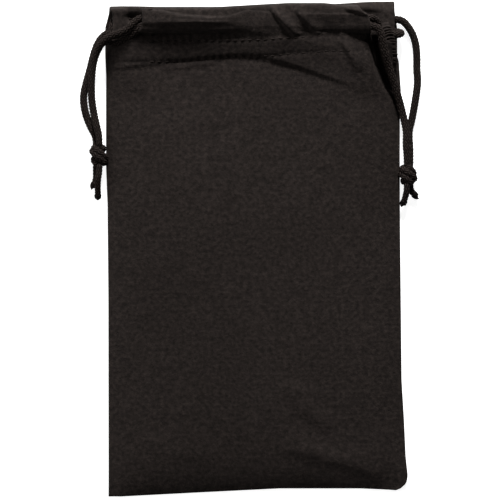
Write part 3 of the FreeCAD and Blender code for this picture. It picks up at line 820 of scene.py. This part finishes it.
def back_tunnel(x, t):
    """Y and Z of the rear's drawcord tunnel, t steps along its way round."""
    one = np.ones(x.shape)
    top_y = table(x, BACK_TOP)
    side = np.where(x < 0, x / table(76.0 * one, LEFT_EDGE), x / table(76.0 * one, RIGHT_EDGE))
    level = 3.82 - 1.5 * np.clip(side, 0, 1) ** 18
    rim = 1.3 * np.exp(-(((x + 41.0) / 5.0) ** 2)) + 1.1 * np.exp(-(((x - 36.5) / 3.5) ** 2))
    level = level + 3.1 * (1.0 - step(x, -49.6, -44.0)) + 1.5 * step(x, 42.0, 46.5)
    controls = (
        ((TUNNEL_START - 1.0) * one, BACK_REST * one),
        (TUNNEL_START * one, BACK_REST * one),
        (77.0 * one, BACK_REST * one),
        (82.4 * one, 0.26 * one),
        (top_y - 0.5, 0.75 + 0.3 * rim),
        (top_y, 1.9 + 0.8 * rim),
        (top_y - 0.5, 3.1 + rim),
        (82.5 * one, level - 0.05 + 0.85 * rim),
        (80.0 * one, level + 0.25 * rim),
        (76.0 * one, level),
        (73.9 * one, level - 0.35),
        (72.4 * one, 1.7 * one),
        (71.2 * one, 0.82 * one),
        (68.0 * one, 0.8 * one),
        (HEM_END * one, 0.8 * one),
    )
    y = spline_at([c[0] for c in controls], t)
    z = spline_at([c[1] for c in controls], t)
    upper = step(t, 5.5, 7.0) * (1.0 - step(t, 9.8, 10.8))
    z = z + upper * 0.3 * np.sin(x * 0.35 + 1.0)
    z = z - upper * 1.5 * np.exp(-(((x + 42.4) / 2.6) ** 2 + ((y - 80.0) / 1.3) ** 2))
    z = z + upper * crease(x, y, ((35.0, 83.6), (39.5, 83.0), (44.0, 82.6)), 0.7, 1.2, 0.5)
    return y, np.maximum(z, LOWEST)


def sheet_point(x, t, height, tunnel, steps):
    """Where a sheet is: t is Y on the panel, and goes on in steps round the tunnel."""
    body_y = t + (table(x, BOTTOM_EDGE) - BOTTOM) * (1.0 - step(t, BOTTOM, BOTTOM + 40))
    body_z = height(x, np.minimum(t, TUNNEL_START))
    on = np.maximum(t - TUNNEL_START, 0.0) + 1.0
    tunnel_y, tunnel_z = tunnel(x, np.minimum(on, steps))
    inside = t <= TUNNEL_START
    return np.stack([x, np.where(inside, body_y, tunnel_y), np.where(inside, body_z, tunnel_z)], -1)


def front_point(x, t):
    return sheet_point(x, t, front_height, front_tunnel, FRONT_STEPS)


def back_point(x, t):
    return sheet_point(x, t, back_height, back_tunnel, BACK_STEPS)


# Edges of the front sheet above its side seams: the slits, then the tunnel's two mouths
LEFT_SLIT = (
    (70.2, -52.2), (72, -47.6), (73, -44.0), (74, -41.6), (75, -40.4), (76, -39.6), (78, -38.9), (81, -39.0),
    (83, -39.4), (85, -38.8), (91, -38.4),
)
RIGHT_SLIT = (
    (69.0, 48.6), (71.0, 47.6), (72.0, 44.0), (72.6, 41.4), (73.2, 40.0), (74, 39.3), (75, 39.0), (76, 38.9),
    (78, 38.8), (80, 38.0), (82, 35.2), (84, 34.2), (86, 35.0), (91, 37.0),
)


def front_sides(t):
    """Left and right edges of the front sheet at each station."""
    left = np.where(t > LEFT_SLIT[0][0], table(t, LEFT_SLIT), table(t, LEFT_EDGE))
    right = np.where(t > RIGHT_SLIT[0][0], table(t, RIGHT_SLIT), table(t, RIGHT_EDGE))
    return left, right


def back_sides(t):
    """Left and right edges of the rear sheet; its turned-in layer stands back from the bights."""
    on = t - TUNNEL_START + 1.0
    y = np.where(on > 1, table(on, ((1, 72), (2, 77), (3, 82.4), (5, 84.3), (14, 84.5))), t)
    left = table(y, LEFT_EDGE)
    right = table(y, RIGHT_EDGE)
    inner = step(on, 6.2, 7.8)
    return left * (1 - inner) - 49.3 * inner, np.minimum(right, 48.6) * (1 - inner) + 47.6 * inner


def fold_list(turn_in):
    """(inset, layer) pairs of an edge's turning, from its hidden end to the outside."""
    pairs = [(turn_in, 1.0), (turn_in * 0.6, 1.0), (turn_in * 0.3, 1.0)]
    for k in range(7):
        a = math.pi * (1.0 - k / 6.0)
        pairs.append((FOLD * (1.0 - math.sin(a)), (1.0 - math.cos(a)) / 2.0))
    pairs.append((0.62, 0.0))
    return pairs


def sheet_mesh(name, point, sides, stations, inward, columns):
    """A folded sheet of cloth: sides and bottom turned in, given its thickness."""
    edge = fold_list(TURN_IN)
    rows = [(BOTTOM + inset, layer) for inset, layer in edge]
    rows += [(s, 0.0) for s in stations if s > BOTTOM + 1.0]
    t = np.array([r[0] for r in rows])
    row_layer = np.array([r[1] for r in rows])
    left, right = sides(t)
    x_columns, layers = [], []
    for inset, layer in edge:
        x_columns.append(left + inset)
        layers.append(layer)
    for f in np.linspace(0.0, 1.0, columns):
        x_columns.append(left + 1.0 + (right - left - 2.0) * f)
        layers.append(0.0)
    for inset, layer in reversed(edge):
        x_columns.append(right - inset)
        layers.append(layer)
    x = np.stack(x_columns, 1)
    tt = np.repeat(t[:, None], x.shape[1], 1)
    layer = np.maximum(np.array(layers)[None, :], row_layer[:, None])
    here = point(x, tt)
    dx = point(x + 0.15, tt) - point(x - 0.15, tt)
    dt = point(x, tt + 0.04) - point(x, tt - 0.04)
    normal = np.cross(dx, dt)
    normal /= np.maximum(np.linalg.norm(normal, axis=-1), 1e-9)[..., None]
    verts = here + normal * (inward * 2.0 * FOLD * layer)[..., None]
    obj = make_mesh(name, verts.reshape(-1, 3), grid_faces(*x.shape), MICROFIBRE)
    thick = obj.modifiers.new("cloth_thickness", "SOLIDIFY")
    thick.thickness = CLOTH * MM
    thick.offset = 0.0
    return obj


BODY_GAP = 0.9
HEM_GAP = 0.4
TUNNEL_GAP = 0.2
COLUMNS = 176
HEM_BAND_START = 58.0


def station_list(steps, body_gap, hem_gap):
    """Rows of a sheet: wide apart on the body, closer on the hem, closest round the tunnel."""
    body = list(np.arange(BOTTOM + 1.0, HEM_BAND_START, body_gap))
    band = list(np.arange(HEM_BAND_START, TUNNEL_START, hem_gap))
    tunnel = list(TUNNEL_START + np.arange(0.0, steps - 1.0, TUNNEL_GAP)) + [TUNNEL_START + steps - 1.0]
    return body + band + tunnel


front_rows = station_list(FRONT_STEPS, BODY_GAP, HEM_GAP)
back_rows = station_list(BACK_STEPS, BODY_GAP * 1.3, HEM_GAP * 1.5)
front_cloth = sheet_mesh("front_cloth", front_point, front_sides, front_rows, -1.0, COLUMNS)
back_cloth = sheet_mesh("back_cloth", back_point, back_sides, back_rows, 1.0, COLUMNS * 3 // 4)
place(front_cloth, "pouch", "microfibre", "front_panel", "front_hem")
place(back_cloth, "pouch", "microfibre", "back_panel", "back_hem")


# ---------------------------------------------------------------------------------------------
# Thread
# ---------------------------------------------------------------------------------------------
STITCH_RADIUS = 0.21
BACK_STITCH_RADIUS = 0.2
BACK_STITCH_LEVEL = 0.54
SEAM_RADIUS = 0.14
SEAM_PITCH = 1.9
OVERLOCK_RADIUS = 0.13
OVERLOCK_PITCH = 1.1
SEAM_LEVEL = 1.05  # height of the joint between the two panels
SEAM_RISE = 0.62


def thread_tube(points, radius, sides=8):
    """A two-ply thread along a few points."""
    centre = np.asarray(points, float)
    tangent = np.gradient(centre, axis=0)
    tangent /= np.linalg.norm(tangent, axis=1)[:, None]
    ref = np.array([0.0, 1.0, 0.0]) if abs(tangent[0, 1]) < 0.8 else np.array([1.0, 0.0, 0.0])
    across = np.cross(tangent, ref)
    across /= np.linalg.norm(across, axis=1)[:, None]
    up = np.cross(across, tangent)
    far = np.concatenate([[0.0], np.cumsum(np.linalg.norm(np.diff(centre, axis=0), axis=1))])
    angle = np.linspace(0.0, math.tau, sides, endpoint=False)
    ply = radius * (0.84 + 0.22 * np.abs(np.cos(angle[None, :] + far[:, None] * 5.0)))
    verts = (
        centre[:, None, :]
        + across[:, None, :] * (np.cos(angle)[None, :] * ply)[..., None]
        + up[:, None, :] * (np.sin(angle)[None, :] * ply)[..., None]
    )
    return verts.reshape(-1, 3), [f[::-1] for f in grid_faces(len(centre), sides, closed=True)]


def stitch_row(name, row, surface, lift, radius):
    """Stitches along a row on a cloth's face, each one an arch of thread that dives in at its ends."""
    low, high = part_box(name)
    parts = []
    x = low.x / MM
    while x < high.x / MM - STITCH_PITCH:
        length = STITCH_PITCH * rng.uniform(0.56, 0.68)
        share = np.linspace(0.0, 1.0, 9)
        xs = x + 0.3 + share * length
        ys = table(xs, row) + rng.normal(0, 0.05) + rng.normal(0, 0.1) * (share - 0.5)
        arch = np.sin(share * math.pi) ** 0.6
        zs = surface(xs, ys) + table(xs, lift) * (arch * (radius + 0.25) - 0.12)
        parts.append(thread_tube(np.stack([xs, ys, zs], 1), radius))
        x += STITCH_PITCH
    verts, faces = join(parts)
    return place(make_mesh(name + "_thread", verts, faces, THREAD), "pouch", "sewing_thread", name)


def under_back(x, y):
    """The rear stitches' level, on the side that faces the table."""
    return np.full(x.shape, BACK_STITCH_LEVEL)


# How far the stitches stand out of the cloth, across the pouch
UPPER_LIFT = ((-20, 1.2), (-4, 1.0), (8, 0.55), (30, 0.4))
LOWER_LIFT = ((-20, 0.7), (20, 0.45))
BACK_LIFT = ((-60, -1.0), (60, -1.0))
BACK_UPPER_ROW = ((-60, 71.2), (60, 71.2))
BACK_LOWER_ROW = ((-60, 66.6), (60, 66.6))
stitch_row("front_upper_hem_stitches", UPPER_ROW, front_height, UPPER_LIFT, STITCH_RADIUS)
stitch_row("front_lower_hem_stitches", LOWER_ROW, front_height, LOWER_LIFT, STITCH_RADIUS)
stitch_row("back_upper_hem_stitches", BACK_UPPER_ROW, under_back, BACK_LIFT, BACK_STITCH_RADIUS)
stitch_row("back_lower_hem_stitches", BACK_LOWER_ROW, under_back, BACK_LIFT, BACK_STITCH_RADIUS)


def seam_thread(name, along_from, along_to, where):
    """Seam stitches in the joint between the two panels' folds."""
    parts = []
    at = along_from
    while at < along_to:
        angle = np.linspace(-1.15, 1.15, 9)
        rise = SEAM_LEVEL + SEAM_RISE * np.sin(angle)
        out = 0.34 * (1.0 - np.cos(angle)) + 0.12
        parts.append(thread_tube(where(at + 0.25 * angle, out, rise), SEAM_RADIUS, 6))
        at += SEAM_PITCH + rng.normal(0, 0.05)
    verts, faces = join(parts)
    return place(make_mesh(name + "_thread", verts, faces, THREAD), "pouch", "sewing_thread", name)


def left_line(y, inset, z):
    """Points at this distance in from the left edge; the next two do the same for the others."""
    return np.stack([table(y, LEFT_EDGE) + inset, y, z], 1)


def right_line(y, inset, z):
    return np.stack([table(y, RIGHT_EDGE) - inset, y, z], 1)


def bottom_line(x, inset, z):
    return np.stack([x, table(x, BOTTOM_EDGE) + inset, z], 1)


# The right seam allowance where it shows beside the mouth: middle, half width and height up the pouch
ALLOWANCE_MIDDLE = ((63, 47.2), (66, 46.9), (70, 46.0), (74, 45.0), (78.4, 43.2))
ALLOWANCE_HALF = ((63, 0.9), (66, 1.6), (70, 2.0), (78.4, 2.0))
ALLOWANCE_Z = ((63, 3.9), (66, 5.2), (70, 6.6), (73, 7.5), (76, 7.8), (78.4, 7.2))
ALLOWANCE_THICKNESS = 0.8
SHOWN_PITCH = 0.96
SHOWN_RADIUS = 0.25


def slit_overlock():
    """The overlock stitches that show on the right seam allowance beside the mouth."""
    parts = []
    share = np.linspace(0.0, 1.0, 13)
    for y in np.arange(63.2, 76.4, SHOWN_PITCH):
        half = table(y, ALLOWANCE_HALF) * rng.uniform(0.92, 1.06)
        xs = table(y, ALLOWANCE_MIDDLE) + half * (2.0 * share - 1.0)
        ys = y + rng.uniform(0.7, 1.2) * np.sin(share * math.pi * 0.8) + 0.5 * share + rng.normal(0, 0.08)
        zs = table(ys, ALLOWANCE_Z) + 0.28 + 0.24 * np.sin(share * math.pi) ** 0.5
        parts.append(thread_tube(np.stack([xs, ys, zs], 1), SHOWN_RADIUS))
    return parts


def allowance_strip():
    """The cloth of the right seam allowance where it lies open beside the mouth."""
    rows, cols = 40, 12
    v, u = np.meshgrid(np.linspace(62.0, 78.0, rows), np.linspace(-1.0, 1.0, cols), indexing="ij")
    x = table(v, ALLOWANCE_MIDDLE) + u * table(v, ALLOWANCE_HALF)
    z = table(v, ALLOWANCE_Z) - 0.5 * u**2 + 0.1 * np.sin(v * 2.1)
    verts = np.stack([x, v, z], -1).reshape(-1, 3)
    strip = make_mesh("right_allowance_strip", verts, grid_faces(rows, cols), MICROFIBRE)
    solid = strip.modifiers.new("cloth", "SOLIDIFY")
    solid.thickness = ALLOWANCE_THICKNESS * MM
    solid.offset = 0.0
    return place(strip, "pouch", "microfibre")


allowance_strip()


def overlock(name, along_from, along_to, where, more=()):
    """Overlock loops wrapped round the edge of a seam allowance inside the pouch."""
    count = int((along_to - along_from) / OVERLOCK_PITCH)
    t = np.linspace(0.0, count, count * 12 + 1)
    at = along_from + t * OVERLOCK_PITCH + 0.3 * np.sin(t * math.tau)
    inset = 3.1 + 0.9 * np.cos(t * math.tau)
    wrap = thread_tube(where(at, inset, SEAM_LEVEL + SEAM_RISE * np.sin(t * math.tau)), OVERLOCK_RADIUS, 6)
    chain = []
    for level in (0.42, 1.68):
        flat = along_from + np.linspace(0, count, count * 8 + 1) * OVERLOCK_PITCH
        wiggle = 2.3 + 0.16 * np.sin(flat * math.tau / OVERLOCK_PITCH)
        chain.append(thread_tube(where(flat, wiggle, np.full(flat.shape, level)), OVERLOCK_RADIUS, 6))
    verts, faces = join([wrap, *chain, *more])
    return place(make_mesh(name + "_loops", verts, faces, OVERLOCK), "pouch", "overlock_thread", name)


seam_thread("left_seam_stitches", -80.0, 69.0, left_line)
seam_thread("right_seam_stitches", -78.0, 67.5, right_line)
seam_thread("bottom_seam_stitches", -48.0, 46.0, bottom_line)
overlock("left_seam_overlock", -80.0, 68.0, left_line)
overlock("right_seam_overlock", -78.0, 66.5, right_line, slit_overlock())
overlock("bottom_seam_overlock", -47.0, 46.0, bottom_line)

# ---------------------------------------------------------------------------------------------
# Table, light
# ---------------------------------------------------------------------------------------------
TABLE_REACH = 1500
table_corners = [(a * TABLE_REACH, b * TABLE_REACH, 0) for a, b in ((-1, -1), (1, -1), (1, 1), (-1, 1))]
make_mesh("table", table_corners, [(0, 1, 2, 3)], floor_material())


def area_light(name, where, size, power):
    """A square soft box that looks at the pouch."""
    data = bpy.data.lights.new(name, "AREA")
    data.size = size
    data.energy = power
    obj = bpy.data.objects.new(name, data)
    bpy.context.scene.collection.objects.link(obj)
    obj.location = where
    obj.rotation_mode = "QUATERNION"
    obj.rotation_quaternion = (-obj.location).to_track_quat("-Z", "Y")


area_light("key", (0.06, 0.82, 0.43), 0.17, 24.5)
area_light("fill", (-0.95, 0.1, 0.42), 0.7, 6.5)
world = bpy.data.worlds.new("studio")
world.use_nodes = True
world.node_tree.nodes["Background"].inputs[0].default_value = (1.0, 1.0, 1.0, 1.0)
world.node_tree.nodes["Background"].inputs[1].default_value = 0.11
bpy.context.scene.world = world
bpy.context.scene.view_settings.view_transform = "Standard"
